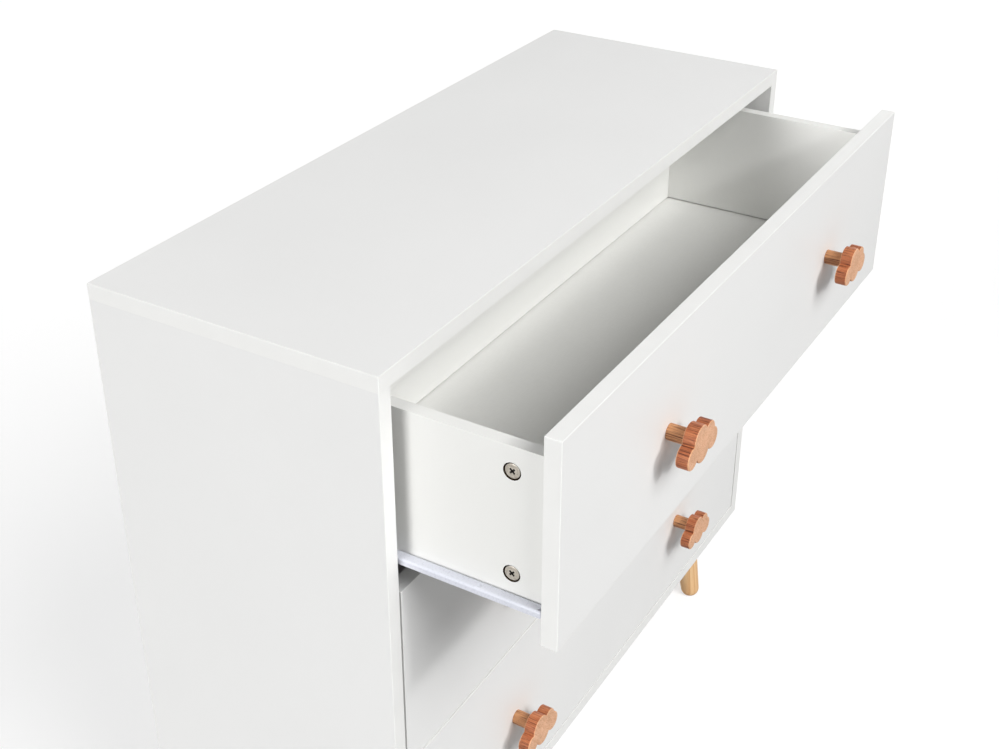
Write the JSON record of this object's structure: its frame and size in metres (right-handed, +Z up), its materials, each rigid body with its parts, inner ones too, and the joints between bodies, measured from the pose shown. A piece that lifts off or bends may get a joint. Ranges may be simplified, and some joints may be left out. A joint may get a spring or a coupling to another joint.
{
  "type": "chest of drawers",
  "caption": "White chest of drawers with full-width drawers on roller runners, cloud-shaped wooden knobs and splayed tapered wooden legs; the top drawer stands open.",
  "frame": {"origin": "on the floor, under the middle of the bounding box with the top drawer open as modelled", "axes": "+X to the right of someone facing the drawers, +Y towards the back, +Z up; the drawer fronts face -Y"},
  "size_m": [0.8, 0.473, 0.77],
  "materials": {
    "white_melamine": "satin white melamine on particle board",
    "white_hardboard": "white lacquered hardboard, satin",
    "oiled_beech": "oiled beech, satin",
    "pine": "clear lacquered pine, satin",
    "coated_steel": "white epoxy powder coat",
    "zinc_plate": "zinc-plated pressed steel",
    "cam_nickel": "nickel-plated die-cast zinc",
    "nylon": "moulded white nylon"
  },
  "bodies": {
    "carcase": {"back_board": "white_hardboard", "bottom_panel": "white_melamine", "cabinet_runner_bottom_left": "coated_steel", "cabinet_runner_bottom_right": "coated_steel", "cabinet_runner_middle_left": "coated_steel", "cabinet_runner_middle_right": "coated_steel", "cabinet_runner_top_left": "coated_steel", "cabinet_runner_top_right": "coated_steel", "leg_back_left": "pine", "leg_back_right": "pine", "leg_front_left": "pine", "leg_front_right": "pine", "leg_plate_back_left": "zinc_plate", "leg_plate_back_right": "zinc_plate", "leg_plate_front_left": "zinc_plate", "leg_plate_front_right": "zinc_plate", "side_panel_left": "white_melamine", "side_panel_right": "white_melamine", "top_panel": "white_melamine"},
    "drawer_bottom": {"drawer_bottom_back": "white_melamine", "drawer_bottom_bottom": "white_hardboard", "drawer_bottom_front": "white_melamine", "drawer_bottom_side_left": "white_melamine", "drawer_bottom_side_right": "white_melamine", "drawer_runner_bottom_left": "coated_steel", "drawer_runner_bottom_right": "coated_steel", "knob_bottom_left": "oiled_beech", "knob_bottom_right": "oiled_beech"},
    "drawer_middle": {"drawer_middle_back": "white_melamine", "drawer_middle_bottom": "white_hardboard", "drawer_middle_front": "white_melamine", "drawer_middle_side_left": "white_melamine", "drawer_middle_side_right": "white_melamine", "drawer_runner_middle_left": "coated_steel", "drawer_runner_middle_right": "coated_steel", "knob_middle_left": "oiled_beech", "knob_middle_right": "oiled_beech"},
    "drawer_top": {"cam_fastener_top_left_lower": "cam_nickel", "cam_fastener_top_left_upper": "cam_nickel", "drawer_runner_top_left": "coated_steel", "drawer_runner_top_right": "coated_steel", "drawer_top_back": "white_melamine", "drawer_top_bottom": "white_hardboard", "drawer_top_front": "white_melamine", "drawer_top_side_left": "white_melamine", "drawer_top_side_right": "white_melamine", "knob_top_left": "oiled_beech", "knob_top_right": "oiled_beech"},
    "front_roller_bottom_left": {"front_roller_bottom_left": "nylon"},
    "rear_roller_bottom_left": {"rear_roller_bottom_left": "nylon"},
    "front_roller_bottom_right": {"front_roller_bottom_right": "nylon"},
    "rear_roller_bottom_right": {"rear_roller_bottom_right": "nylon"},
    "front_roller_middle_left": {"front_roller_middle_left": "nylon"},
    "rear_roller_middle_left": {"rear_roller_middle_left": "nylon"},
    "front_roller_middle_right": {"front_roller_middle_right": "nylon"},
    "rear_roller_middle_right": {"rear_roller_middle_right": "nylon"},
    "front_roller_top_left": {"front_roller_top_left": "nylon"},
    "rear_roller_top_left": {"rear_roller_top_left": "nylon"},
    "front_roller_top_right": {"front_roller_top_right": "nylon"},
    "rear_roller_top_right": {"rear_roller_top_right": "nylon"}
  },
  "joints": [
    {"name": "drawer_bottom_slide", "type": "slide", "parent": "carcase", "child": "drawer_bottom", "axis": [0, -1, 0], "range_m": [0, 0.19]},
    {"name": "drawer_middle_slide", "type": "slide", "parent": "carcase", "child": "drawer_middle", "axis": [0, -1, 0], "range_m": [0, 0.19]},
    {"name": "drawer_top_slide", "type": "slide", "parent": "carcase", "child": "drawer_top", "axis": [0, -1, 0], "range_m": [-0.146, 0.044]},
    {"name": "front_roller_bottom_left_spin", "type": "hinge", "parent": "carcase", "child": "front_roller_bottom_left", "pos_m": [-0.3783, -0.0325, 0.185], "axis": [1, 0, 0], "range_deg": [0, 1210]},
    {"name": "rear_roller_bottom_left_spin", "type": "hinge", "parent": "drawer_bottom", "child": "rear_roller_bottom_left", "pos_m": [-0.3783, 0.1971, 0.1767], "axis": [1, 0, 0], "range_deg": [0, 1210]},
    {"name": "front_roller_bottom_right_spin", "type": "hinge", "parent": "carcase", "child": "front_roller_bottom_right", "pos_m": [0.3783, -0.0325, 0.185], "axis": [1, 0, 0], "range_deg": [0, 1210]},
    {"name": "rear_roller_bottom_right_spin", "type": "hinge", "parent": "drawer_bottom", "child": "rear_roller_bottom_right", "pos_m": [0.3783, 0.1971, 0.1767], "axis": [1, 0, 0], "range_deg": [0, 1210]},
    {"name": "front_roller_middle_left_spin", "type": "hinge", "parent": "carcase", "child": "front_roller_middle_left", "pos_m": [-0.3783, -0.0325, 0.3825], "axis": [1, 0, 0], "range_deg": [0, 1210]},
    {"name": "rear_roller_middle_left_spin", "type": "hinge", "parent": "drawer_middle", "child": "rear_roller_middle_left", "pos_m": [-0.3783, 0.1971, 0.3742], "axis": [1, 0, 0], "range_deg": [0, 1210]},
    {"name": "front_roller_middle_right_spin", "type": "hinge", "parent": "carcase", "child": "front_roller_middle_right", "pos_m": [0.3783, -0.0325, 0.3825], "axis": [1, 0, 0], "range_deg": [0, 1210]},
    {"name": "rear_roller_middle_right_spin", "type": "hinge", "parent": "drawer_middle", "child": "rear_roller_middle_right", "pos_m": [0.3783, 0.1971, 0.3742], "axis": [1, 0, 0], "range_deg": [0, 1210]},
    {"name": "front_roller_top_left_spin", "type": "hinge", "parent": "carcase", "child": "front_roller_top_left", "pos_m": [-0.3783, -0.0325, 0.58], "axis": [1, 0, 0], "range_deg": [-930, 281]},
    {"name": "rear_roller_top_left_spin", "type": "hinge", "parent": "drawer_top", "child": "rear_roller_top_left", "pos_m": [-0.3783, 0.0511, 0.5717], "axis": [1, 0, 0], "range_deg": [-930, 281]},
    {"name": "front_roller_top_right_spin", "type": "hinge", "parent": "carcase", "child": "front_roller_top_right", "pos_m": [0.3783, -0.0325, 0.58], "axis": [1, 0, 0], "range_deg": [-930, 281]},
    {"name": "rear_roller_top_right_spin", "type": "hinge", "parent": "drawer_top", "child": "rear_roller_top_right", "pos_m": [0.3783, 0.0511, 0.5717], "axis": [1, 0, 0], "range_deg": [-930, 281]}
  ],
  "couplings": [
    {"joint": "front_roller_bottom_left_spin", "follows": "drawer_bottom_slide", "rad_per_m": 111.11},
    {"joint": "rear_roller_bottom_left_spin", "follows": "drawer_bottom_slide", "rad_per_m": 111.11},
    {"joint": "front_roller_bottom_right_spin", "follows": "drawer_bottom_slide", "rad_per_m": 111.11},
    {"joint": "rear_roller_bottom_right_spin", "follows": "drawer_bottom_slide", "rad_per_m": 111.11},
    {"joint": "front_roller_middle_left_spin", "follows": "drawer_middle_slide", "rad_per_m": 111.11},
    {"joint": "rear_roller_middle_left_spin", "follows": "drawer_middle_slide", "rad_per_m": 111.11},
    {"joint": "front_roller_middle_right_spin", "follows": "drawer_middle_slide", "rad_per_m": 111.11},
    {"joint": "rear_roller_middle_right_spin", "follows": "drawer_middle_slide", "rad_per_m": 111.11},
    {"joint": "front_roller_top_left_spin", "follows": "drawer_top_slide", "rad_per_m": 111.11},
    {"joint": "rear_roller_top_left_spin", "follows": "drawer_top_slide", "rad_per_m": 111.11},
    {"joint": "front_roller_top_right_spin", "follows": "drawer_top_slide", "rad_per_m": 111.11},
    {"joint": "rear_roller_top_right_spin", "follows": "drawer_top_slide", "rad_per_m": 111.11}
  ]
}
